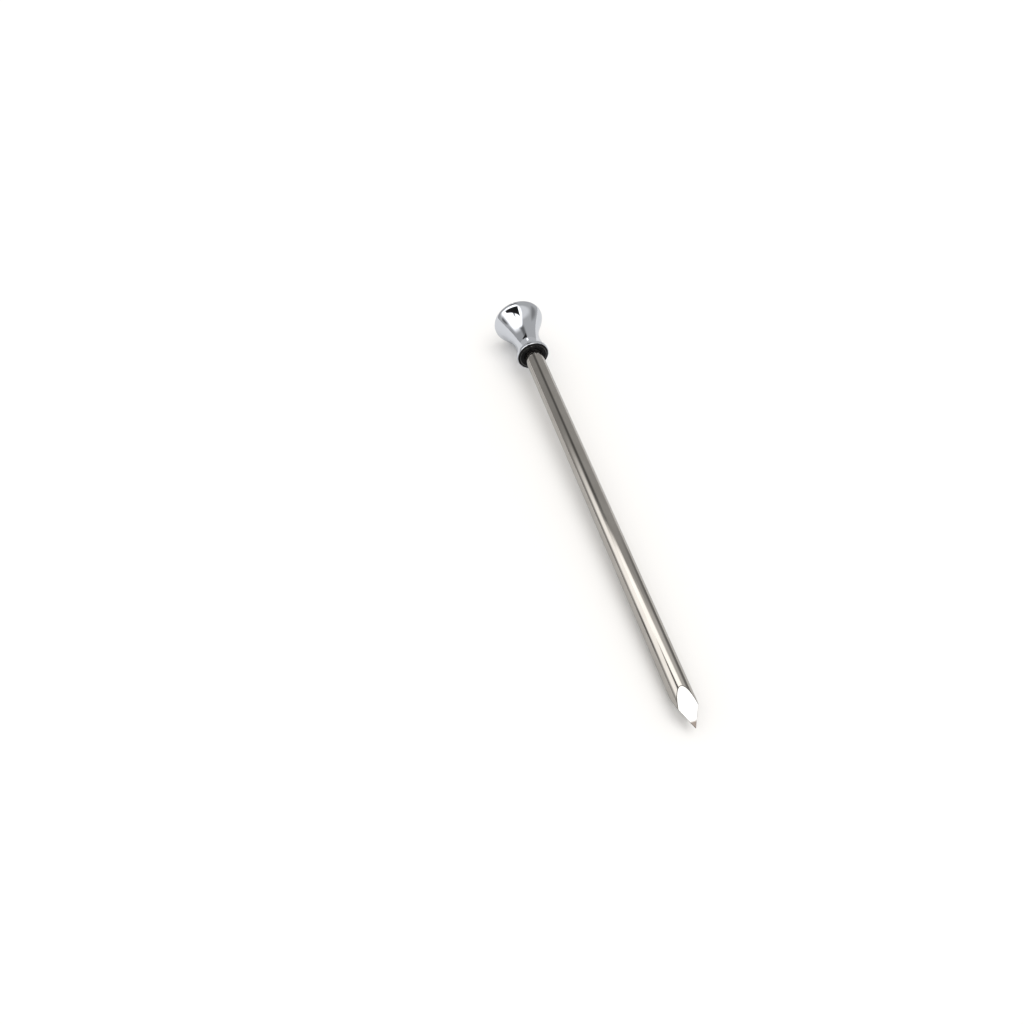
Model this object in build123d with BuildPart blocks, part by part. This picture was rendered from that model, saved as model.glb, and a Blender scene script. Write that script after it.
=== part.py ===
"""A knob-handled piercing rod: a polished steel rod, ground to a three-sided point, and its knob.

Millimetres. The rod's axis is +X, running out of the knob towards the point, and +Z is up.
The origin lies on the axis in the plane where the rod leaves the knob: the seat face of the
black end bush. The rod lies on its side, as the tool does on a bench, with one facet facing up.
"""
from build123d import *
import os
from math import cos, radians, sin, tan

# ---- driving dimensions ----
ROD_DIAMETER = 8.0
EXPOSED_LENGTH = 186.0        # seat face to the very point
POINT_HALF_ANGLE = 16.0       # between each ground facet and the rod's axis, degrees
FACET_COUNT = 3
FACET_TURN = 4.0              # how far the top facet's normal is turned from +Z about +X, degrees

HEAD_DIAMETER = 22.0
WAIST_DIAMETER = 11.3
COLLAR_DIAMETER = 14.2
KNOB_LENGTH = 26.0            # collar's seat for the bush to the crown's centre
CROWN_RISE = 0.9              # height of the domed crown above the head's rounded rim
COLLAR_BAND = 1.9             # width of the rounded band round the collar, with its lip

THREAD_DIAMETER = 5.0         # M5, drawn at its major diameter
SEAT_DIAMETER = 7.0           # turned-down seat, whose shoulder clamps the bush on the knob
SEAT_LENGTH = 9.0             # from the seat face back to the threaded tail
TAIL_LENGTH = 9.5
INSERT_DIAMETER = 6.8
INSERT_LENGTH = 9.0

BUSH_FLANGE_DIAMETER = 13.5
BUSH_BACK = 0.5               # flange thickness behind the seat face
BUSH_BEAD = 0.35              # height of the rounded bead in front of the seat face
BUSH_SPIGOT_DIAMETER = 10.2
BUSH_SPIGOT_LENGTH = 2.2

SEAT_GAP = 0.05               # radial gap between the turned seat and the bores it stands in
INSERT_SETBACK = 0.3          # the seat's end stops just short of the brass

# ---- worked out from the driving dimensions ----
rod_radius = ROD_DIAMETER / 2
head_radius = HEAD_DIAMETER / 2
waist_radius = WAIST_DIAMETER / 2
collar_radius = COLLAR_DIAMETER / 2
thread_radius = THREAD_DIAMETER / 2
insert_radius = INSERT_DIAMETER / 2
spigot_radius = BUSH_SPIGOT_DIAMETER / 2
flange_radius = BUSH_FLANGE_DIAMETER / 2
seat_radius = SEAT_DIAMETER / 2
bore_radius = seat_radius + SEAT_GAP
point_length = rod_radius / tan(radians(POINT_HALF_ANGLE))
straight_length = EXPOSED_LENGTH - point_length

collar_end = -BUSH_BACK                     # the knob's seat for the back of the bush's flange
crown_x = collar_end - KNOB_LENGTH
seat_end = -SEAT_LENGTH
tail_end = seat_end - TAIL_LENGTH
insert_front = seat_end - INSERT_SETBACK
insert_back = insert_front - INSERT_LENGTH

os.makedirs("parts", exist_ok=True)


# ---- rod: ground bar, three-sided point, turned seat and threaded tail ----
TAIL_CHAMFER = 0.5
RELIEF_WIDTH = 1.2            # undercut where the thread runs out at the seat
RELIEF_DEPTH = 0.5
SEAT_CHAMFER = 0.3

with BuildPart() as rod:
    with BuildSketch(Plane.XY) as rod_half:
        with BuildLine():
            Polyline(
                (tail_end, 0),
                (tail_end, thread_radius - TAIL_CHAMFER),
                (tail_end + TAIL_CHAMFER, thread_radius),
                (seat_end - RELIEF_WIDTH, thread_radius),
                (seat_end - RELIEF_WIDTH, thread_radius - RELIEF_DEPTH),
                (seat_end, thread_radius - RELIEF_DEPTH),
                (seat_end, seat_radius - SEAT_CHAMFER),
                (seat_end + SEAT_CHAMFER, seat_radius),
                (0, seat_radius),
                (0, rod_radius),
                (EXPOSED_LENGTH, rod_radius),
                (EXPOSED_LENGTH, 0),
                close=True,
            )
        make_face()
    revolve(axis=Axis.X)
    # Each facet is a flat grind through the very point, leaning back by the half angle.
    lean = radians(POINT_HALF_ANGLE)
    for facet in range(FACET_COUNT):
        turn = radians(FACET_TURN + facet * 360 / FACET_COUNT)
        outward = (sin(lean), -cos(lean) * sin(turn), cos(lean) * cos(turn))
        facet_plane = Plane(origin=(EXPOSED_LENGTH, 0, 0), z_dir=outward)
        split(bisect_by=facet_plane, keep=Keep.BOTTOM)
rod.part.label = "rod"
export_step(rod.part, "parts/rod.step")


# ---- knob: waisted, flared, mirror plated; blind bore from the collar's end ----
RIM_RADIUS = 1.7              # rounding where the crown turns over into the flare
COLLAR_NECK = 0.45            # step from the neck up to the collar band
LIP_REACH = 0.4               # how far the band's lip stands round the bush's flange
LIP_WALL = 0.2
LIP_GAP = 0.03
BORE_SPARE = 1.0              # drill room past the threaded tail
DRILL_POINT = 0.6             # depth of the drilled cone over its radius
WAIST_X = -8.2                # where the knob is slimmest
FLARE_HEAD_PULL = 3.7         # how far the flare keeps on level from the head before it falls
FLARE_WAIST_PULL = 6.9        # how far it runs level into the waist

rim_x = crown_x + CROWN_RISE + RIM_RADIUS
crown_edge = (crown_x + CROWN_RISE, head_radius - RIM_RADIUS)
crown_halfway = (crown_x + CROWN_RISE / 4, crown_edge[1] / 2)
lip_end = collar_end + LIP_REACH
lip_bore_radius = flange_radius + LIP_GAP
band_back = lip_end - COLLAR_BAND
band_middle = lip_end - COLLAR_BAND / 2
spigot_end = collar_end - BUSH_SPIGOT_LENGTH
bore_end = tail_end - BORE_SPARE

with BuildPart() as knob:
    with BuildSketch(Plane.XY) as knob_half:
        with BuildLine():
            crown = ThreePointArc((crown_x, 0), crown_halfway, crown_edge)
            rim = RadiusArc(crown @ 1, (rim_x, head_radius), RIM_RADIUS)
            flare = Bezier(
                rim @ 1,
                (rim_x + FLARE_HEAD_PULL, head_radius),
                (WAIST_X - FLARE_WAIST_PULL, waist_radius),
                (WAIST_X, waist_radius),
            )
            neck = TangentArc(
                flare @ 1,
                (band_back, collar_radius - COLLAR_NECK),
                tangent=(1, 0),
            )
            band = ThreePointArc(
                neck @ 1,
                (band_middle, collar_radius),
                (lip_end, lip_bore_radius + LIP_WALL),
            )
            Line(band @ 1, (lip_end, 0))
            Line((lip_end, 0), (crown_x, 0))
        make_face()
    revolve(axis=Axis.X)
    # The blind bore steps down: bush flange, bush spigot, rod seat, brass insert, drill end.
    with BuildSketch(Plane.XY) as bore_half:
        with BuildLine():
            Polyline(
                (lip_end, 0),
                (lip_end, lip_bore_radius),
                (collar_end, lip_bore_radius),
                (collar_end, spigot_radius),
                (spigot_end, spigot_radius),
                (spigot_end, bore_radius),
                (insert_front, bore_radius),
                (insert_front, insert_radius),
                (insert_back, insert_radius),
                (insert_back, thread_radius),
                (bore_end, thread_radius),
                (bore_end - thread_radius * DRILL_POINT, 0),
                close=True,
            )
        make_face()
    revolve(axis=Axis.X, mode=Mode.SUBTRACT)
knob.part.label = "knob"
export_step(knob.part, "parts/knob.step")


# ---- end bush: black ring that closes the collar's mouth round the rod ----
BEAD_INNER_RADIUS = 5.45      # where the bead rises from the flat seat face
LAND_RADIUS = 4.05            # inner land, which the rod's shoulder bears on
GROOVE_OUTER_RADIUS = 4.35    # V groove that keeps the shoulder's edge off the seat face
SEAT_GROOVE_DEPTH = 0.25
EDGE_CHAMFER = 0.3
bead_crest = (BUSH_BEAD, (BEAD_INNER_RADIUS + flange_radius) / 2)

with BuildPart() as end_bush:
    with BuildSketch(Plane.XY) as bush_half:
        with BuildLine():
            Polyline(
                (0, BEAD_INNER_RADIUS),
                (0, GROOVE_OUTER_RADIUS),
                (-SEAT_GROOVE_DEPTH, (GROOVE_OUTER_RADIUS + LAND_RADIUS) / 2),
                (0, LAND_RADIUS),
                (0, bore_radius),
                (spigot_end, bore_radius),
                (spigot_end, spigot_radius),
                (collar_end, spigot_radius),
                (collar_end, flange_radius - EDGE_CHAMFER),
                (collar_end + EDGE_CHAMFER, flange_radius),
                (0, flange_radius),
            )
            ThreePointArc((0, flange_radius), bead_crest, (0, BEAD_INNER_RADIUS))
        make_face()
    revolve(axis=Axis.X)
end_bush.part.label = "end_bush"
export_step(end_bush.part, "parts/end_bush.step")


# ---- threaded insert: knurled brass, moulded into the knob, takes the rod's tail ----
KNURL_COUNT = 20
KNURL_WIDTH = 0.55
KNURL_DEPTH = 0.25
GROOVE_WIDTH = 1.2            # plain groove round the middle, which keys it against pulling out
GROOVE_DEPTH = 0.35

with BuildPart() as threaded_insert:
    with BuildSketch(Plane.YZ.offset(insert_back)):
        Circle(insert_radius)
        Circle(thread_radius, mode=Mode.SUBTRACT)
    extrude(amount=INSERT_LENGTH)
    with BuildSketch(Plane.YZ.offset(insert_back)):
        with PolarLocations(insert_radius, KNURL_COUNT):
            Rectangle(KNURL_DEPTH * 2, KNURL_WIDTH)
    extrude(amount=INSERT_LENGTH, mode=Mode.SUBTRACT)
    groove_back = insert_back + (INSERT_LENGTH - GROOVE_WIDTH) / 2
    with BuildSketch(Plane.YZ.offset(groove_back)):
        Circle(insert_radius + GROOVE_DEPTH)
        Circle(insert_radius - GROOVE_DEPTH, mode=Mode.SUBTRACT)
    extrude(amount=GROOVE_WIDTH, mode=Mode.SUBTRACT)
threaded_insert.part.label = "threaded_insert"
export_step(threaded_insert.part, "parts/threaded_insert.step")

print(f"point length {point_length:.2f}, straight rod {straight_length:.2f}")
print(f"overall length {EXPOSED_LENGTH - crown_x:.2f}")
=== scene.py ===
# %% [markdown]
# # A knob-handled piercing rod
#
# The tool is a polished steel rod, ground to a three-sided point, pushed by a small waisted
# chrome knob. A black bush closes the knob's end round the rod. Everything about it is a
# mirror, so most of this lesson is about smooth surfaces and about what they reflect.
#
# The CAD frame comes first. It holds the true sizes, and the pieces below take their main sizes
# from it.

# %% Load the CAD frame
from math import atan2, cos, degrees, pi, radians, sin, sqrt
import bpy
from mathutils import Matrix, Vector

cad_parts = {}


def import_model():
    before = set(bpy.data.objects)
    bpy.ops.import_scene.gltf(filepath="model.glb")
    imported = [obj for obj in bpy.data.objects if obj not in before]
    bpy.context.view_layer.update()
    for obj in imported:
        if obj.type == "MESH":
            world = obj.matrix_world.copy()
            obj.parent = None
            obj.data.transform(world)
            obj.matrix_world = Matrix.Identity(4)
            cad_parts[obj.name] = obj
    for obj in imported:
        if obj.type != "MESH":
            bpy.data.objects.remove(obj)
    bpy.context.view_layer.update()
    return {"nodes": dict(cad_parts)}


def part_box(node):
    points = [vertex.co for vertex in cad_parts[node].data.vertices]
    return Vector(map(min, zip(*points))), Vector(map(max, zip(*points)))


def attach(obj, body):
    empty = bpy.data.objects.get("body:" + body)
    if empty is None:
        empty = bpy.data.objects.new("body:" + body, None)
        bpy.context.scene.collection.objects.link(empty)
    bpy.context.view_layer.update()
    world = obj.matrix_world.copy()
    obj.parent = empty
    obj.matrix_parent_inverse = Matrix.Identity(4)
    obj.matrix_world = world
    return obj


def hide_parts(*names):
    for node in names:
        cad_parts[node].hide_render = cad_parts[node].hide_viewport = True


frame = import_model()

from types import SimpleNamespace

import bmesh
import bpy
from mathutils import Matrix, Vector

MM = 0.001

# %% [markdown]
# ## Sizes
#
# The rod lies along +X, out of the knob and towards the point. Sizes that show on a CAD node's
# box are read from it, so the two models can't drift apart. The few that lie inside an outline,
# such as the waist, are named beside the piece that needs them.

# %% Read the main sizes from the frame
knob_low, knob_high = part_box("knob")
rod_low, rod_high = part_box("rod")
bush_low, bush_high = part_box("end_bush")
insert_low, insert_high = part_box("threaded_insert")

HEAD_RADIUS = knob_high.z
CROWN_X = knob_low.x
LIP_END = knob_high.x
ROD_RADIUS = rod_high.y
POINT_X = rod_high.x
TAIL_END = rod_low.x
FLANGE_RADIUS = bush_high.z
SPIGOT_END = bush_low.x
BEAD_HEIGHT = bush_high.x
INSERT_RADIUS = insert_high.z
print("head", round(HEAD_RADIUS / MM, 2), "rod", round(ROD_RADIUS / MM, 2))

# %% Sizes that two pieces share
FLANGE_BACK = -0.5 * MM      # back of the bush's flange, on the knob's seat
SPIGOT_RADIUS = 5.1 * MM     # the bush's spigot, in the knob
BORE_RADIUS = 3.55 * MM      # bores that the rod's turned seat stands in
THREAD_RADIUS = 2.5 * MM     # the rod's tail, in the insert

# %% [markdown]
# ## Turning a profile
#
# The knob, the rod and the bush are all lathe work, so each starts as half an outline and is
# spun about the X axis. The outline is a Bezier curve, drawn as a maker would draw it: few
# points, with handles that say how the line leaves each one. Blender samples the curve, and
# `bmesh.ops.spin` turns it. A polygon list would give the same shape with hundreds of numbers
# that nobody can read.

# %% A curve from corner points and handles
ROUND = 0.5523  # handle length of a quarter circle, over its radius


def mm(*lengths):
    """Lengths given in millimetres, as metres."""
    return tuple(length * MM for length in lengths)


def outline(points, resolution=24):
    """Sampled half outline. Each point is (x, r) or (x, r, handle in, handle out), in metres."""
    curve = bpy.data.curves.new("outline", "CURVE")
    curve.resolution_u = resolution
    spline = curve.splines.new("BEZIER")
    spline.bezier_points.add(len(points) - 1)
    for knot, point in zip(spline.bezier_points, points):
        place = Vector((point[0], point[1], 0))
        before, after = point[2:] if len(point) == 4 else ((0, 0), (0, 0))
        knot.handle_left_type = knot.handle_right_type = "FREE"
        knot.co = place
        knot.handle_left = place + Vector((*before, 0))
        knot.handle_right = place + Vector((*after, 0))
    drawing = bpy.data.objects.new("outline", curve)
    mesh = bpy.data.meshes.new_from_object(drawing)
    bpy.data.objects.remove(drawing)
    bpy.data.curves.remove(curve)
    return mesh


# %% [markdown]
# ### The spin
#
# A mirror shows every flat, so the spin has many steps. Where the outline touches the axis the
# spin leaves a fan of doubled points, which are merged before the normals are worked out again.
# In the other order the normals could come out facing inwards.

# %% Spin an outline into a closed solid
SPIN_STEPS = 192
ROD_STEPS = 240
DOUBLES = 0.5e-6


def turn(profile, steps=SPIN_STEPS):
    """Spins a sampled outline about X and returns the bmesh."""
    bm = bmesh.new()
    bm.from_mesh(profile)
    bpy.data.meshes.remove(profile)
    bmesh.ops.remove_doubles(bm, verts=bm.verts, dist=DOUBLES)
    bmesh.ops.spin(
        bm, geom=bm.verts[:] + bm.edges[:], cent=(0, 0, 0), axis=(1, 0, 0),
        angle=2 * pi, steps=steps, use_merge=True,
    )
    bmesh.ops.remove_doubles(bm, verts=bm.verts, dist=DOUBLES)
    bmesh.ops.recalc_face_normals(bm, faces=bm.faces)
    return bm


# %% [markdown]
# ### From bmesh to piece
#
# Every face is shaded smooth, and edges that turn by more than a set angle are marked sharp, so
# the round parts mirror cleanly and the real corners stay crisp. The print shows the open edges,
# of which a closed solid has none, and the volume, which should be close to the CAD node's.

# %% Finish a bmesh as a piece of the object
SHARP = radians(28)


def finish_piece(bm, name, node, sharp=SHARP):
    """Makes the object, smooths it between its sharp edges, and lets it stand for its CAD node."""
    for face in bm.faces:
        face.smooth = True
    for edge in bm.edges:
        if edge.is_manifold and edge.calc_face_angle(0) > sharp:
            edge.smooth = False
    open_edges = sum(not edge.is_manifold for edge in bm.edges)
    print(f"{name}: {len(bm.faces)} faces, {open_edges} open edges, "
          f"{bm.calc_volume() / MM ** 3:.0f} cubic mm")
    mesh = bpy.data.meshes.new(name)
    bm.to_mesh(mesh)
    bm.free()
    piece = bpy.data.objects.new(name, mesh)
    bpy.context.scene.collection.objects.link(piece)
    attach(piece, "root")
    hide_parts(node)
    return piece


# %% [markdown]
# ## The chrome knob
#
# On the real thing this is a plated moulding or casting: a shallow crown, a rounded rim, an
# S-shaped flare down to a slim waist, and a collar with a rounded band. It could be cut from
# primitives, but the flow from rim to waist is one line, so it is drawn as one. The same closed
# outline holds the blind bore inside, so the wall has its true thickness.

# %% Sizes of the knob's outline
CROWN_RISE = 0.9 * MM
RIM_RADIUS = 1.7 * MM
RIM_TURN = 0.75 * MM         # the rim rolls on past its widest ring by this length
RIM_DROP = 0.13 * MM         # and by this much towards the axis
FLARE_SLOPE = 0.34           # how steeply the flare leaves the rim
FLARE_HEAD_PULL = 3.0 * MM
FLARE_WAIST_PULL = 6.9 * MM
WAIST_X = -8.2 * MM
WAIST_RADIUS = 5.65 * MM
COLLAR_RADIUS = 7.1 * MM
COLLAR_BAND = 1.9 * MM
COLLAR_NECK = 0.45 * MM
LIP_WALL = 0.2 * MM
LIP_GAP = 0.03 * MM
DRILL_ROOM = 1.0 * MM
DRILL_POINT = 1.5 * MM

lip_bore = FLANGE_RADIUS + LIP_GAP
band_back = LIP_END - COLLAR_BAND
band_middle = LIP_END - COLLAR_BAND / 2
rim_start = CROWN_X + CROWN_RISE
ring_x = rim_start + RIM_RADIUS
crown_radius = HEAD_RADIUS - RIM_RADIUS
bore_end = TAIL_END - DRILL_ROOM
print("widest ring at", round(ring_x / MM, 2), "bore ends at", round(bore_end / MM, 2))

# %% Draw the knob's outside, from the crown's middle to the lip
outside = [
    # the crown, from its middle to where it meets the rim
    (CROWN_X, 0, (0, 0), (0, crown_radius / 2)),
    (rim_start, crown_radius, mm(-0.30, -2.4), mm(0.02, 0.94)),
    # the rim's widest ring, and where the flare leaves it
    (ring_x, HEAD_RADIUS, (-ROUND * RIM_RADIUS, 0), (RIM_TURN / 3, 0)),
    (ring_x + RIM_TURN, HEAD_RADIUS - RIM_DROP,
     (-RIM_TURN / 3, RIM_DROP * 0.6), (FLARE_HEAD_PULL, -FLARE_HEAD_PULL * FLARE_SLOPE)),
    # the waist, and the neck that rises from it to the collar
    (WAIST_X, WAIST_RADIUS, (-FLARE_WAIST_PULL, 0), mm(2.6, 0)),
    (band_back, COLLAR_RADIUS - COLLAR_NECK, mm(-1.3, -0.36), mm(0.16, 0.28)),
    # the collar's rounded band, and its lip
    (band_middle, COLLAR_RADIUS, mm(-0.42, 0), mm(0.42, 0)),
    (LIP_END, lip_bore + LIP_WALL, mm(-0.18, 0.14), (0, 0)),
]
print("points in the knob's outside:", len(outside))

# %% Draw the stepped bore and spin the knob
bore = [
    # the bush's flange, and its spigot
    (LIP_END, lip_bore),
    (FLANGE_BACK, lip_bore),
    (FLANGE_BACK, SPIGOT_RADIUS),
    (SPIGOT_END, SPIGOT_RADIUS),
    # the rod's seat, and the brass insert
    (SPIGOT_END, BORE_RADIUS),
    (insert_high.x, BORE_RADIUS),
    (insert_high.x, INSERT_RADIUS),
    (insert_low.x, INSERT_RADIUS),
    # the drilled end
    (insert_low.x, THREAD_RADIUS),
    (bore_end, THREAD_RADIUS),
    (bore_end - DRILL_POINT, 0),
]
knob = finish_piece(turn(outline(outside + bore)), "chrome_knob", "knob")

# %% [markdown]
# ## The black bush
#
# A moulded ring. Its flange covers the collar's end, a rounded bead runs round its edge, and a
# short spigot reaches into the knob. Only the flat face and the bead can be seen. A fine V
# groove lies round the rod, where the rod's shoulder presses on the inner land.

# %% Draw and spin the bush
LAND_RADIUS = 4.05 * MM
GROOVE_OUTER_RADIUS = 4.35 * MM
GROOVE_DEPTH = 0.25 * MM
BEAD_INNER_RADIUS = 5.45 * MM
EDGE = 0.3 * MM

bead_middle = (BEAD_INNER_RADIUS + FLANGE_RADIUS) / 2
bead_half = (FLANGE_RADIUS - BEAD_INNER_RADIUS) / 2
bead_foot = BEAD_HEIGHT * 0.7
bush_outline = outline([
    (0, BORE_RADIUS),
    (0, LAND_RADIUS),
    (-GROOVE_DEPTH, (LAND_RADIUS + GROOVE_OUTER_RADIUS) / 2),
    (0, GROOVE_OUTER_RADIUS),
    (0, BEAD_INNER_RADIUS, (0, 0), (bead_foot, bead_half * 0.2)),
    (BEAD_HEIGHT, bead_middle, (0, -bead_half * ROUND), (0, bead_half * ROUND)),
    (0, FLANGE_RADIUS, (bead_foot, -bead_half * 0.2), (0, 0)),
    (FLANGE_BACK + EDGE, FLANGE_RADIUS),
    (FLANGE_BACK, FLANGE_RADIUS - EDGE),
    (FLANGE_BACK, SPIGOT_RADIUS),
    (SPIGOT_END, SPIGOT_RADIUS),
    (SPIGOT_END, BORE_RADIUS),
    (0, BORE_RADIUS),
], resolution=16)
ring = turn(bush_outline)

# %% [markdown]
# ### A line of sheen on the bead
#
# The mould polished the bead's inner flank, and it catches the light as one thin arc. Those
# faces get a second material slot. The finishes themselves are made further down.

# %% Mark the polished line and finish the bush
SHEEN_INNER = 5.62 * MM
SHEEN_OUTER = 6.0 * MM
polished = 0
for face in ring.faces:
    middle = face.calc_center_median()
    from_axis = sqrt(middle.y ** 2 + middle.z ** 2)
    face.material_index = int(middle.x > 0 and SHEEN_INNER < from_axis < SHEEN_OUTER)
    polished += face.material_index
print("polished faces on the bead:", polished)
bush = finish_piece(ring, "black_bush", "end_bush")

# %% [markdown]
# ## The rod
#
# Bar stock, turned down at one end for the knob. The bar, its seat and its threaded tail are
# one outline. Nothing on it is curved lengthwise, so the curve needs no points between its
# corners and the resolution is 1. The thread is left plain, because the knob hides it.

# %% Spin the bar
TAIL_CHAMFER = 0.5 * MM
SEAT_END = -9.0 * MM
SEAT_RADIUS = 3.5 * MM
SEAT_CHAMFER = 0.3 * MM
RELIEF_X = SEAT_END - 1.2 * MM
RELIEF_RADIUS = 2.0 * MM

bar_outline = outline([
    (TAIL_END, 0),
    (TAIL_END, THREAD_RADIUS - TAIL_CHAMFER),
    (TAIL_END + TAIL_CHAMFER, THREAD_RADIUS),
    (RELIEF_X, THREAD_RADIUS),
    (RELIEF_X, RELIEF_RADIUS),
    (SEAT_END, RELIEF_RADIUS),
    (SEAT_END, SEAT_RADIUS - SEAT_CHAMFER),
    (SEAT_END + SEAT_CHAMFER, SEAT_RADIUS),
    (0, SEAT_RADIUS),
    (0, ROD_RADIUS),
    (POINT_X, ROD_RADIUS),
    (POINT_X, 0),
], resolution=1)
bar = turn(bar_outline, steps=ROD_STEPS)
print("bar:", len(bar.faces), "faces")

# %% [markdown]
# ### Three flat grinds
#
# The point is three flats, a third of a turn apart. `bmesh.ops.bisect_plane` does what the
# wheel did: each cut goes through the very point and leans back 16 degrees, and the opening
# that it leaves is filled with one flat face. A cone or a Boolean would need a second solid.

# %% Grind the three facets
POINT_HALF_ANGLE = radians(16)
FACET_COUNT = 3
FACET_TURN = radians(4)
CUT_TOLERANCE = 1e-7

point = Vector((POINT_X, 0, 0))
for facet in range(FACET_COUNT):
    roll = Matrix.Rotation(FACET_TURN + facet * 2 * pi / FACET_COUNT, 3, "X")
    outward = roll @ Vector((sin(POINT_HALF_ANGLE), 0, cos(POINT_HALF_ANGLE)))
    cut = bmesh.ops.bisect_plane(
        bar, geom=bar.verts[:] + bar.edges[:] + bar.faces[:], dist=CUT_TOLERANCE,
        plane_co=point, plane_no=outward, clear_outer=True,
    )
    rim = [item for item in cut["geom_cut"] if isinstance(item, bmesh.types.BMEdge)]
    bmesh.ops.holes_fill(bar, edges=rim, sides=0)
bmesh.ops.remove_doubles(bar, verts=bar.verts, dist=DOUBLES)
bmesh.ops.recalc_face_normals(bar, faces=bar.faces)

# %% Find the facets by the way they face
FACET_LEAN = pi / 2 - POINT_HALF_ANGLE
LEAN_TOLERANCE = radians(0.5)
along_rod = Vector((1, 0, 0))
facets = [face for face in bar.faces if face.calc_center_median().x > 0 and
          abs(face.normal.angle(along_rod) - FACET_LEAN) < LEAN_TOLERANCE]
for face in facets:
    face.material_index = 1
print("ground facets:", len(facets))

# %% [markdown]
# ### Broken edges
#
# A stone is drawn over the ground edges, which breaks them by a hair. That hair is a small bevel,
# and its faces get a material of their own, painted dark: the thin dark line round each facet is
# painted shade. The bevel's angles are small, so the rod's sharp limit is small too.

# %% Break the facets' edges and finish the rod
HONED_EDGE = 0.14 * MM
ROD_SHARP = radians(5)
honed = {edge for face in facets for edge in face.edges}
rounded = bmesh.ops.bevel(
    bar, geom=list(honed), offset=HONED_EDGE, offset_type="OFFSET", segments=2,
    profile=0.5, affect="EDGES", material=-1, clamp_overlap=True,
)
for face in rounded["faces"]:
    face.material_index = 2
bmesh.ops.recalc_face_normals(bar, faces=bar.faces)
print("honed faces:", len(rounded["faces"]))
rod = finish_piece(bar, "steel_rod", "rod", sharp=ROD_SHARP)

# %% [markdown]
# ## Finishes
#
# Each finish is a small node tree on Object coordinates, so its pattern stays at a true size
# wherever the piece lies. Plain values sit on the shader's own sockets, and the patterns only
# drive colour, roughness and bump. A few helpers keep each finish down to a handful of lines.

# %% A new material, and nodes with named settings


def new_finish(name, color, metallic, roughness):
    """A material with one Principled shader. Returns it with its tree and the shader."""
    material = bpy.data.materials.new(name)
    material.use_nodes = True
    tree = material.node_tree
    shader = tree.nodes["Principled BSDF"]
    shader.inputs["Base Color"].default_value = (*color, 1)
    shader.inputs["Metallic"].default_value = metallic
    shader.inputs["Roughness"].default_value = roughness
    return material, tree, shader


def add(tree, kind, **settings):
    """A node with its inputs or properties set by name."""
    node = tree.nodes.new(kind)
    for key, value in settings.items():
        if hasattr(node, key):
            setattr(node, key, value)
        else:
            node.inputs[key.replace("_", " ")].default_value = value
    return node


# %% A noise that can be drawn out along the rod, and a range for it


def stretched_noise(tree, scale, detail=4.0, roughness=0.6):
    """Noise on Object coordinates, stretched by a scale for each axis, in patterns per metre."""
    place = add(tree, "ShaderNodeTexCoord")
    mapping = add(tree, "ShaderNodeMapping")
    mapping.inputs["Scale"].default_value = scale
    noise = add(tree, "ShaderNodeTexNoise", Scale=1.0, Detail=detail, Roughness=roughness)
    tree.links.new(place.outputs["Object"], mapping.inputs["Vector"])
    tree.links.new(mapping.outputs["Vector"], noise.inputs["Vector"])
    return noise.outputs["Fac"]


def ranged(tree, value, low, high, from_low=0.3, from_high=0.7):
    """Maps a pattern on to a range of values."""
    node = add(tree, "ShaderNodeMapRange")
    for name, number in (("From Min", from_low), ("From Max", from_high),
                         ("To Min", low), ("To Max", high)):
        node.inputs[name].default_value = number
    tree.links.new(value, node.inputs["Value"])
    return node.outputs["Result"]


# %% Relief and colour from a pattern


def bump(tree, shader, height, depth, strength=1.0):
    """Relief of a given depth in metres, added before any bump that is there."""
    node = add(tree, "ShaderNodeBump", Strength=strength, Distance=depth)
    old = shader.inputs["Normal"].links
    if old:
        tree.links.new(old[0].from_socket, node.inputs["Normal"])
    tree.links.new(height, node.inputs["Height"])
    tree.links.new(node.outputs["Normal"], shader.inputs["Normal"])


def tint(tree, shader, value, dark, light):
    """Colour that runs from dark to light with a pattern."""
    ramp = add(tree, "ShaderNodeValToRGB")
    ramp.color_ramp.elements[0].position = 0.3
    ramp.color_ramp.elements[1].position = 0.7
    ramp.color_ramp.elements[0].color = (*dark, 1)
    ramp.color_ramp.elements[1].color = (*light, 1)
    tree.links.new(value, ramp.inputs["Fac"])
    tree.links.new(ramp.outputs["Color"], shader.inputs["Base Color"])


# %% [markdown]
# ### Polished steel
#
# The bar was drawn, then polished, and has a warm grey colour. Drawing leaves faint lines along
# the rod, so one noise is stretched lengthwise, and polishing leaves fainter ones across it.
# Handling leaves patches a little duller than the rest.

# %% Polished steel of the rod
steel, tree, shader = new_finish("polished_steel", (0.53, 0.50, 0.46), 1.0, 0.08)
draw_lines = stretched_noise(tree, (30, 5000, 5000))
polish = stretched_noise(tree, (6000, 400, 400), detail=2.0)
patches = stretched_noise(tree, (90, 260, 260))
tint(tree, shader, patches, (0.50, 0.47, 0.43), (0.56, 0.53, 0.49))
tree.links.new(ranged(tree, patches, 0.055, 0.11), shader.inputs["Roughness"])
bump(tree, shader, draw_lines, 0.4e-6)
bump(tree, shader, polish, 0.15e-6)
rod.data.materials.append(steel)
print(steel.name, len(tree.nodes), "nodes")
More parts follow.
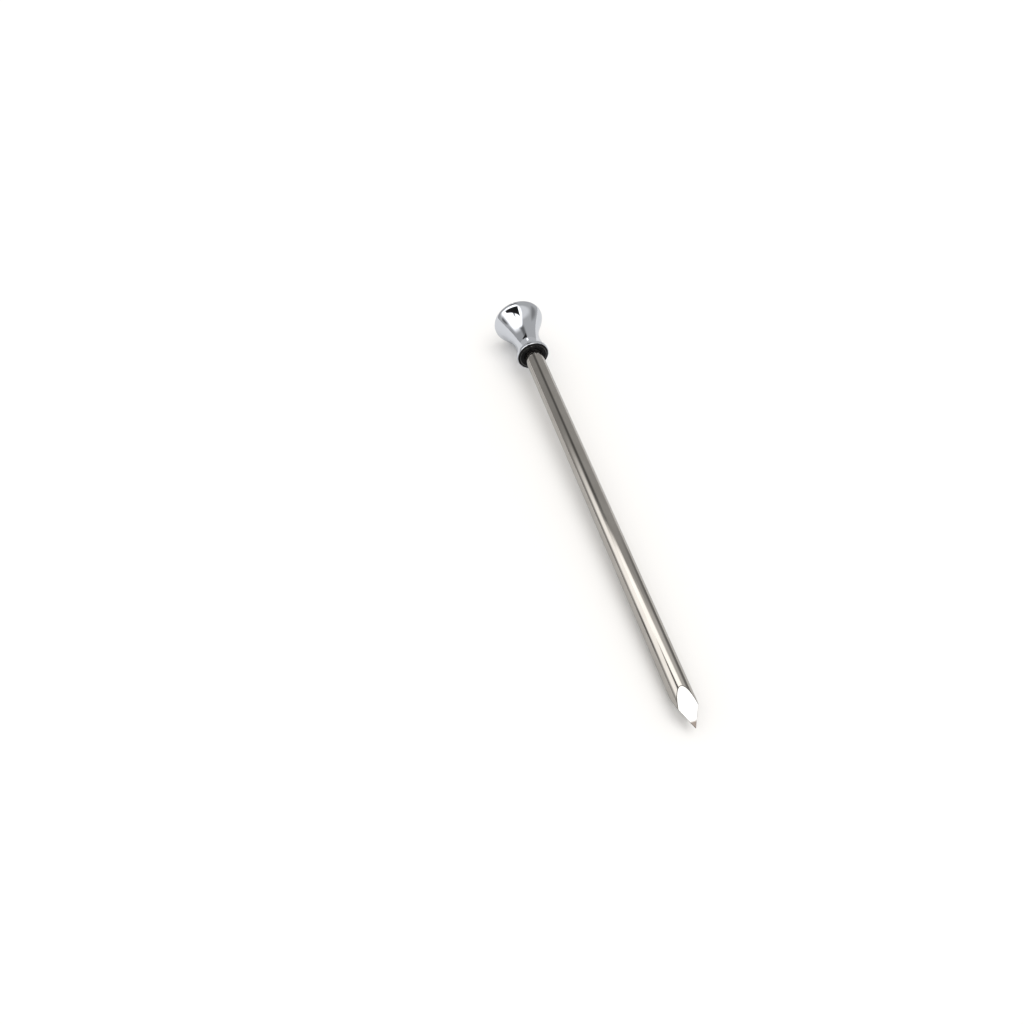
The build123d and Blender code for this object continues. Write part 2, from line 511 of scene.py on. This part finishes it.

# %% [markdown]
# ### Ground steel
#
# The facets are fresh from the wheel, brighter than the bar, with fine marks across the rod.
# The last millimetres of the point are darker and brownish. A ramp along X blends that darker
# colour in, which needs no second piece and no picture.

# %% Ground steel of the facets, darker and brownish at the very tip
# Past this point along X the facets blend to a darker, brownish colour.
TIP_DARK_FROM = 183.2 * MM
TIP_DARK_FADE = 0.7 * MM
TIP_DARK_COLOR = (0.20, 0.17, 0.15)
ground, tree, shader = new_finish("ground_steel", (0.66, 0.65, 0.63), 1.0, 0.10)
grind_lines = stretched_noise(tree, (9000, 500, 500), detail=3.0)
tint(tree, shader, grind_lines, (0.60, 0.59, 0.57), (0.70, 0.69, 0.67))
split = add(tree, "ShaderNodeSeparateXYZ")
tree.links.new(add(tree, "ShaderNodeTexCoord").outputs["Object"], split.inputs["Vector"])
tip_dark = ranged(tree, split.outputs["X"], 0.0, 1.0, TIP_DARK_FROM, TIP_DARK_FROM + TIP_DARK_FADE)
darkened_tip = add(tree, "ShaderNodeMix", data_type="RGBA")
tree.links.new(tip_dark, darkened_tip.inputs["Factor"])
tree.links.new(shader.inputs["Base Color"].links[0].from_socket, darkened_tip.inputs["A"])
darkened_tip.inputs["B"].default_value = (*TIP_DARK_COLOR, 1)
tree.links.new(darkened_tip.outputs["Result"], shader.inputs["Base Color"])
bump(tree, shader, grind_lines, 0.8e-6)
rod.data.materials.append(ground)
print(ground.name, len(tree.nodes), "nodes")

# %% [markdown]
# ### Honed edges, painted dark
#
# The stone leaves a scratched surface. Its darkness is painted shade: steel with a very low colour
# and a higher roughness, which draws a dark line between two bright faces.

# %% Honed steel of the facets' edges, painted dark
# The dark colour here is painted shade that draws the outline round each facet.
honed_edge_painted_dark, tree, shader = new_finish("honed_edge_painted_dark", (0.08, 0.07, 0.06), 1.0, 0.35)
nicks = stretched_noise(tree, (1500, 1500, 1500))
tint(tree, shader, nicks, (0.05, 0.045, 0.04), (0.13, 0.12, 0.11))
bump(tree, shader, nicks, 1e-6)
rod.data.materials.append(honed_edge_painted_dark)
print(honed_edge_painted_dark.name, len(tree.nodes), "nodes")

# %% [markdown]
# ### Mirror chrome
#
# Chrome plating is a nearly perfect mirror with a cool tint. The plating follows the small
# waves of the moulding under it, which bend straight reflections a little, and a hand leaves
# faint smears. Without both it would look like a drawing of chrome.

# %% Mirror chrome of the knob
chrome, tree, shader = new_finish("mirror_chrome", (0.80, 0.82, 0.86), 1.0, 0.03)
smears = stretched_noise(tree, (150, 150, 150))
ripple = stretched_noise(tree, (120, 120, 120), detail=1.0)
tree.links.new(ranged(tree, smears, 0.02, 0.06), shader.inputs["Roughness"])
bump(tree, shader, ripple, 8e-6)
knob.data.materials.append(chrome)
print(chrome.name, len(tree.nodes), "nodes")

# %% [markdown]
# ### Black nylon
#
# The bush is a black moulding with a satin skin. Its specular level is low, so that the white
# studio doesn't turn the flat face grey.

# %% Black nylon of the bush
nylon, tree, shader = new_finish("black_nylon", (0.007, 0.007, 0.008), 0.0, 0.34)
shader.inputs["Specular IOR Level"].default_value = 0.10
grain = stretched_noise(tree, (3000, 3000, 3000))
tint(tree, shader, grain, (0.005, 0.005, 0.006), (0.010, 0.010, 0.010))
bump(tree, shader, grain, 4e-6)
bush.data.materials.append(nylon)
print(nylon.name, len(tree.nodes), "nodes")

# %% [markdown]
# ### The bead's sheen
#
# It is the same nylon where the mould was polished: smoother, and with a full specular level,
# so it draws the thin arc of light round the rod.

# %% The bead, polished by the mould
bead_sheen, tree, shader = new_finish("moulded_bead", (0.010, 0.010, 0.010), 0.0, 0.16)
shader.inputs["Specular IOR Level"].default_value = 1.0
fine_grain = stretched_noise(tree, (2000, 2000, 2000))
tree.links.new(ranged(tree, fine_grain, 0.13, 0.20), shader.inputs["Roughness"])
tint(tree, shader, fine_grain, (0.008, 0.008, 0.008), (0.013, 0.013, 0.013))
bump(tree, shader, fine_grain, 1.5e-6)
bush.data.materials.append(bead_sheen)
print(bead_sheen.name, len(tree.nodes), "nodes")

# %% [markdown]
# ### Turned brass
#
# The insert is hidden in the knob and is the one CAD node that is kept as it is. It still gets
# a finish, with tool marks round it, because it shows when the knob is taken off.

# %% Turned brass of the insert
brass, tree, shader = new_finish("turned_brass", (0.80, 0.60, 0.27), 1.0, 0.28)
tool_marks = stretched_noise(tree, (9000, 300, 300), detail=2.0)
tint(tree, shader, tool_marks, (0.72, 0.52, 0.22), (0.84, 0.65, 0.32))
bump(tree, shader, tool_marks, 2e-6)
insert = frame["nodes"]["threaded_insert"]
insert.data.materials.clear()
insert.data.materials.append(brass)
print(brass.name, len(tree.nodes), "nodes")

# %% [markdown]
# ## The floor
#
# The tool has no feet. It lies on two spots, the head's widest ring and the rod's underside
# where the facets begin, so the sheet under it is tilted two degrees from the CAD frame.

# %% Find how the tool lies
TOUCH_X = POINT_X - 10.5 * MM
AIR = 0.02 * MM
tilt = atan2(HEAD_RADIUS - ROD_RADIUS, TOUCH_X - ring_x)
floor_up = Vector((-sin(tilt), 0, cos(tilt)))
floor_spot = Vector((ring_x, 0, -HEAD_RADIUS)) - floor_up * AIR
print("floor tilt, degrees:", round(degrees(tilt), 2))

# %% Lay the sheet
SHEET_RADIUS = 4.0
level = Vector((0, 0, 1)).rotation_difference(floor_up).to_matrix().to_4x4()
bm = bmesh.new()
bmesh.ops.create_circle(bm, cap_ends=True, segments=96, radius=SHEET_RADIUS)
bmesh.ops.transform(bm, matrix=Matrix.Translation(floor_spot) @ level, verts=bm.verts)
floor_mesh = bpy.data.meshes.new("sheet")
bm.to_mesh(floor_mesh)
bm.free()
sheet = bpy.data.objects.new("sheet", floor_mesh)
bpy.context.scene.collection.objects.link(sheet)

# %% [markdown]
# ### White paper
#
# The sheet is plain matt paper, lit to nearly white. In a studio the light falls off away from
# the tool, and that darker paper is what its lower sides mirror. So mirror rays see a greyer
# paper here, and the chrome and the steel keep their edges against the white.

# %% White paper, greyer in a mirror
PAPER = (0.93, 0.915, 0.895)
MIRRORED_PAPER = (0.68, 0.68, 0.68)
paper, tree, shader = new_finish("white_paper", PAPER, 0.0, 0.8)
shader.inputs["Specular IOR Level"].default_value = 0.0
bounce = add(tree, "ShaderNodeLightPath")
mirrored = add(tree, "ShaderNodeMix", data_type="RGBA")
tree.links.new(bounce.outputs["Is Glossy Ray"], mirrored.inputs["Factor"])
mirrored.inputs["A"].default_value = (*PAPER, 1)
mirrored.inputs["B"].default_value = (*MIRRORED_PAPER, 1)
tree.links.new(mirrored.outputs["Result"], shader.inputs["Base Color"])
sheet.data.materials.append(paper)

# %% [markdown]
# ## The studio
#
# Chrome has no colour of its own. What the eye reads as chrome is the room: white cards with
# clear edges, dark gaps between them, and the sheet below. Small bright things are shot in a
# tent, a half tunnel of white cloth and grey cards over the sheet. The tent stands at a real
# distance, so the rod's far end and its point see different parts of it, as they would on a
# table. It glows only for mirror rays, and the sheet has its own soft light.

# %% Bend a half tunnel over the sheet
TUNNEL_BACK = -500 * MM
TUNNEL_FRONT = 420 * MM
TUNNEL_SEGMENTS = 128


def half_tunnel(name, radius):
    """A half tunnel round the rod's axis, which only mirror rays can see."""
    bm = bmesh.new()
    middle = Matrix.Translation(((TUNNEL_FRONT + TUNNEL_BACK) / 2, 0, 0))
    bmesh.ops.create_cone(
        bm, cap_ends=False, segments=TUNNEL_SEGMENTS, radius1=radius, radius2=radius,
        depth=TUNNEL_FRONT - TUNNEL_BACK, matrix=middle @ Matrix.Rotation(pi / 2, 4, "Y"),
    )
    bmesh.ops.bisect_plane(
        bm, geom=bm.verts[:] + bm.edges[:] + bm.faces[:], dist=1e-6,
        plane_co=(0, 0, -HEAD_RADIUS), plane_no=(0, 0, -1), clear_outer=True,
    )
    mesh = bpy.data.meshes.new(name)
    bm.to_mesh(mesh)
    bm.free()
    tunnel = bpy.data.objects.new(name, mesh)
    bpy.context.scene.collection.objects.link(tunnel)
    tunnel.visible_camera = tunnel.visible_diffuse = tunnel.visible_shadow = False
    tunnel.visible_transmission = tunnel.visible_volume_scatter = False
    return tunnel


# %% [markdown]
# ### How a card is painted
#
# A card is a soft-edged rectangle of light or dark on the tunnel. Its edges are steps in two
# measures: millimetres along the rod, and degrees round it from the top. Painting them with
# nodes keeps every card one line long, and each can be moved by changing one number.

# %% Sums, soft steps and layers


def maths(tree, operation, *values):
    """One Math node on values that are numbers or sockets."""
    node = add(tree, "ShaderNodeMath", operation=operation)
    for socket, value in zip(node.inputs, values):
        if hasattr(value, "links"):
            tree.links.new(value, socket)
        else:
            socket.default_value = value
    return node.outputs[0]


def past(tree, value, edge, softness):
    """0 before the edge and 1 past it, with a soft step. The edge may be a socket."""
    distance = maths(tree, "SUBTRACT", value, edge)
    node = add(tree, "ShaderNodeMapRange", interpolation_type="SMOOTHSTEP")
    for name, number in (("From Min", -softness), ("From Max", softness),
                         ("To Min", 0.0), ("To Max", 1.0)):
        node.inputs[name].default_value = number
    tree.links.new(distance, node.inputs["Value"])
    return node.outputs["Result"]


def before(tree, value, edge, softness):
    """1 before the edge and 0 past it."""
    return maths(tree, "SUBTRACT", 1.0, past(tree, value, edge, softness))


def over(tree, below, mask, brightness):
    """Lays a grey of that brightness over the one below, where the mask is 1."""
    mix = add(tree, "ShaderNodeMix", data_type="FLOAT")
    tree.links.new(mask, mix.inputs["Factor"])
    if hasattr(below, "links"):
        tree.links.new(below, mix.inputs["A"])
    else:
        mix.inputs["A"].default_value = below
    mix.inputs["B"].default_value = brightness
    return mix.outputs["Result"]


# %% Where a spot is on a tunnel, and a card there


def tunnel_paint(name):
    """An empty material, with sockets for the place along (mm) and round (degrees) the tunnel."""
    material = bpy.data.materials.new(name)
    material.use_nodes = True
    tree = material.node_tree
    tree.nodes.clear()
    split = add(tree, "ShaderNodeSeparateXYZ")
    tree.links.new(add(tree, "ShaderNodeTexCoord").outputs["Object"], split.inputs["Vector"])
    along = maths(tree, "MULTIPLY", split.outputs["X"], 1000.0)
    turned = maths(tree, "ARCTAN2", split.outputs["Y"], split.outputs["Z"])
    around = maths(tree, "MULTIPLY", turned, degrees(1))
    return SimpleNamespace(material=material, tree=tree, along=along, around=around)


def drifting(paint, measure, edge, slope):
    """An edge that drifts by the slope for each unit of the other measure."""
    return maths(paint.tree, "ADD", maths(paint.tree, "MULTIPLY", measure, slope), edge)


def card(paint, below, brightness, start, end, left, right, soft_along=20.0, soft_around=6.0):
    """A card from start to end along the tunnel and from left to right round it."""
    tree = paint.tree
    mask = past(tree, paint.along, start, soft_along)
    for side in (before(tree, paint.along, end, soft_along),
                 past(tree, paint.around, left, soft_around),
                 before(tree, paint.around, right, soft_around)):
        mask = maths(tree, "MULTIPLY", mask, side)
    return over(tree, below, mask, brightness)


# %% [markdown]
# ### The tent
#
# The cloth is mid grey where nothing is laid on it, and white towards the front. A bright card
# overhead gives the rod a bright line and the head its white patch. Grey and dark cards lie
# behind and beside it, because a mirror needs dark to look bright.

# %% Lay the cards on the tent, back to front
BACK = -900   # millimetres, past the tunnel's far end
FRONT = 900   # and past its near end
tent = half_tunnel("light_tent", 280 * MM)
cloth = tunnel_paint("tent_cloth")
glow = card(cloth, 0.44, 0.36, BACK, -60, -130, -25, soft_along=30)
glow = card(cloth, glow, 1.0, 90, FRONT, -130, 130, soft_along=60)
glow = card(cloth, glow, 0.14, -420, -85, -24, 3, soft_along=35, soft_around=9)
glow = card(cloth, glow, 0.22, -75, 60, 60, 86, soft_along=25, soft_around=8)
glow = card(cloth, glow, 0.72, -25, FRONT, 5, 55, soft_along=15, soft_around=10)
overhead_right = drifting(cloth, cloth.along, 10, 0.20)
glow = card(cloth, glow, 2.0, -86, FRONT, -42, overhead_right, soft_along=27, soft_around=7)
glow = card(cloth, glow, 0.12, -25, 12, -86, -64, soft_along=10, soft_around=6)

# %% [markdown]
# ### The mouth
#
# A tent has a slit for the lens. Its reflection is the thin dark wedge between the rod's two
# bright lines, which opens towards the point.

# %% Cut the mouth and light the cloth
MOUTH_MIDDLE = -23    # degrees round
MOUTH_TIP = 0         # millimetres along
MOUTH_SPREAD = 0.27   # degrees on each side for each millimetre
MOUTH_WIDEST = 14
from_tip = maths(cloth.tree, "SUBTRACT", cloth.along, MOUTH_TIP)
mouth_half = maths(cloth.tree, "MINIMUM",
                   maths(cloth.tree, "MULTIPLY", from_tip, MOUTH_SPREAD), MOUTH_WIDEST)
mouth_left = maths(cloth.tree, "SUBTRACT", MOUTH_MIDDLE, mouth_half)
mouth_right = maths(cloth.tree, "ADD", MOUTH_MIDDLE, mouth_half)
glow = card(cloth, glow, 0.06, MOUTH_TIP, FRONT, mouth_left, mouth_right,
            soft_along=6, soft_around=4)

emission = add(cloth.tree, "ShaderNodeEmission", Strength=1.0)
output = add(cloth.tree, "ShaderNodeOutputMaterial")
cloth.tree.links.new(glow, emission.inputs["Color"])
cloth.tree.links.new(emission.outputs["Emission"], output.inputs["Surface"])
tent.data.materials.append(cloth.material)
print("tent nodes:", len(cloth.tree.nodes))

# %% [markdown]
# ### Cards nearer than the tent
#
# Two more cards hang inside the tent. Each is a tunnel of its own that is clear but for the
# card. A white one on the left gives the rod its second bright line. A small black flag hangs
# close over the head, and gives the dark patch with three corners high on the chrome. It has to
# hang close: from farther off, the flare below the rim would mirror it a second time.

# %% A card that floats on a clear tunnel


def float_card(name, radius, paint, reach, brightness):
    """A tunnel that glows where reach is 1 and is clear where it is 0."""
    tree = paint.tree
    glowing = add(tree, "ShaderNodeEmission", Strength=brightness)
    clear = add(tree, "ShaderNodeBsdfTransparent")
    laid = add(tree, "ShaderNodeMixShader")
    output = add(tree, "ShaderNodeOutputMaterial")
    tree.links.new(reach, laid.inputs["Fac"])
    tree.links.new(clear.outputs["BSDF"], laid.inputs[1])
    tree.links.new(glowing.outputs["Emission"], laid.inputs[2])
    tree.links.new(laid.outputs["Shader"], output.inputs["Surface"])
    tunnel = half_tunnel(name, radius)
    tunnel.data.materials.append(paint.material)
    print(name, "floats at", round(radius / MM), "mm")


# %% Hang the white card and the black flag
feather = tunnel_paint("side_card")
reach = card(feather, 0.0, 1.0, -74, FRONT, -69, -31, soft_along=50, soft_around=10)
float_card("side_card", 190 * MM, feather, reach, 1.65)

felt = tunnel_paint("black_felt")
flag_start = drifting(felt, felt.around, -22.2, 0.02)
flag_end = drifting(felt, felt.around, -17.0, 0.10)
reach = card(felt, 0.0, 1.0, flag_start, flag_end, -42, -3, soft_along=0.3, soft_around=1.5)
float_card("black_flag", 15 * MM, felt, reach, 0.015)

# %% [markdown]
# ### The room beyond the tent
#
# Mirror rays that leave through the tent's open ends see the room: grey behind, white in front,
# and one small lamp high behind the knob, which makes the bright spot on its neck.

# %% Paint the room
ROOM_GREY = 0.50
ROOM_WHITE = 1.0
LAMP = 2.0
LAMP_BACK = -0.90       # the lamp's place, in parts of a unit direction
LAMP_LOW = 0.30
LAMP_SIDE = 0.02
LAMP_HALF_WIDTH = 0.055

world = bpy.data.worlds.new("studio")
bpy.context.scene.world = world
world.use_nodes = True
room = world.node_tree
room.nodes.clear()
toward = add(room, "ShaderNodeSeparateXYZ")
room.links.new(add(room, "ShaderNodeTexCoord").outputs["Generated"], toward.inputs["Vector"])
walls = over(room, ROOM_GREY, past(room, toward.outputs["X"], 0.0, 0.3), ROOM_WHITE)
off_middle = maths(room, "ABSOLUTE", maths(room, "ADD", toward.outputs["Y"], LAMP_SIDE))
lamp = maths(room, "MULTIPLY", before(room, toward.outputs["X"], LAMP_BACK, 0.01),
             past(room, toward.outputs["Z"], LAMP_LOW, 0.04))
lamp = maths(room, "MULTIPLY", lamp, before(room, off_middle, LAMP_HALF_WIDTH, 0.01))
walls = over(room, walls, lamp, LAMP)

# %% [markdown]
# ### The dome
#
# The sheet is lit by an even dome and a weak key light together. The dome's light reaches
# nearly everywhere, so the shadow is a soft, narrow one that stays close to the rod. The dome
# is a plain value for diffuse rays only, so it doesn't show in the chrome.

# %% Light the sheet, and say what the camera sees past its edge
DOME = 0.90
PAST_THE_SHEET = (0.98, 0.97, 0.955)
path = add(room, "ShaderNodeLightPath")
walls = over(room, walls, path.outputs["Is Diffuse Ray"], DOME)
seen = add(room, "ShaderNodeMix", data_type="RGBA")
room.links.new(path.outputs["Is Camera Ray"], seen.inputs["Factor"])
room.links.new(walls, seen.inputs["A"])
seen.inputs["B"].default_value = (*PAST_THE_SHEET, 1)
background = add(room, "ShaderNodeBackground", Strength=1.0)
output = add(room, "ShaderNodeOutputWorld")
room.links.new(seen.outputs["Result"], background.inputs["Color"])
room.links.new(background.outputs["Background"], output.inputs["Surface"])
print("room nodes:", len(room.nodes))

# %% [markdown]
# ### The key light
#
# A sun lamp with a very wide disc, high on the right, stands for a large window. It gives the
# shadow its side: a little more of it falls on the left of the rod.

# %% Hang the key light
KEY_SIDE = 75
KEY_HEIGHT = 71
KEY_SPREAD = radians(48)
KEY_ENERGY = 0.80


def heading(side, height):
    """Unit vector: side is degrees round from +X towards +Y, height is degrees up."""
    a, e = radians(side), radians(height)
    return Vector((cos(a) * cos(e), sin(a) * cos(e), sin(e)))


key_light = bpy.data.lights.new("key", "SUN")
key_light.energy = KEY_ENERGY
key_light.angle = KEY_SPREAD
key = bpy.data.objects.new("key", key_light)
key.rotation_mode = "QUATERNION"
key.rotation_quaternion = heading(KEY_SIDE, KEY_HEIGHT).to_track_quat("Z", "Y")
key.visible_glossy = False
bpy.context.scene.collection.objects.link(key)

# %% [markdown]
# ## The camera
#
# A 35 mm lens at arm's length looks down from the point's side. It is close enough for the rod
# to taper away from it by a quarter. The camera stands level with the sheet, not with the CAD
# frame, so its up direction is the floor's.

# %% Place the camera
AIM = Vector(mm(83.4, -32.6, 0))
DISTANCE = 375.4 * MM
CAMERA_SIDE = -16.06
CAMERA_HEIGHT = 49.73
toward_camera = heading(CAMERA_SIDE, CAMERA_HEIGHT)
right = floor_up.cross(toward_camera).normalized()
upright = toward_camera.cross(right)

camera_data = bpy.data.cameras.new("camera")
camera_data.sensor_width = 36
camera_data.lens = 35
camera_data.clip_start = 10 * MM
camera = bpy.data.objects.new("camera", camera_data)
camera.matrix_world = Matrix.Translation(AIM + toward_camera * DISTANCE) @ Matrix(
    (right, upright, toward_camera)).transposed().to_4x4()
bpy.context.scene.collection.objects.link(camera)
bpy.context.scene.camera = camera
bpy.context.scene.view_settings.view_transform = "Standard"
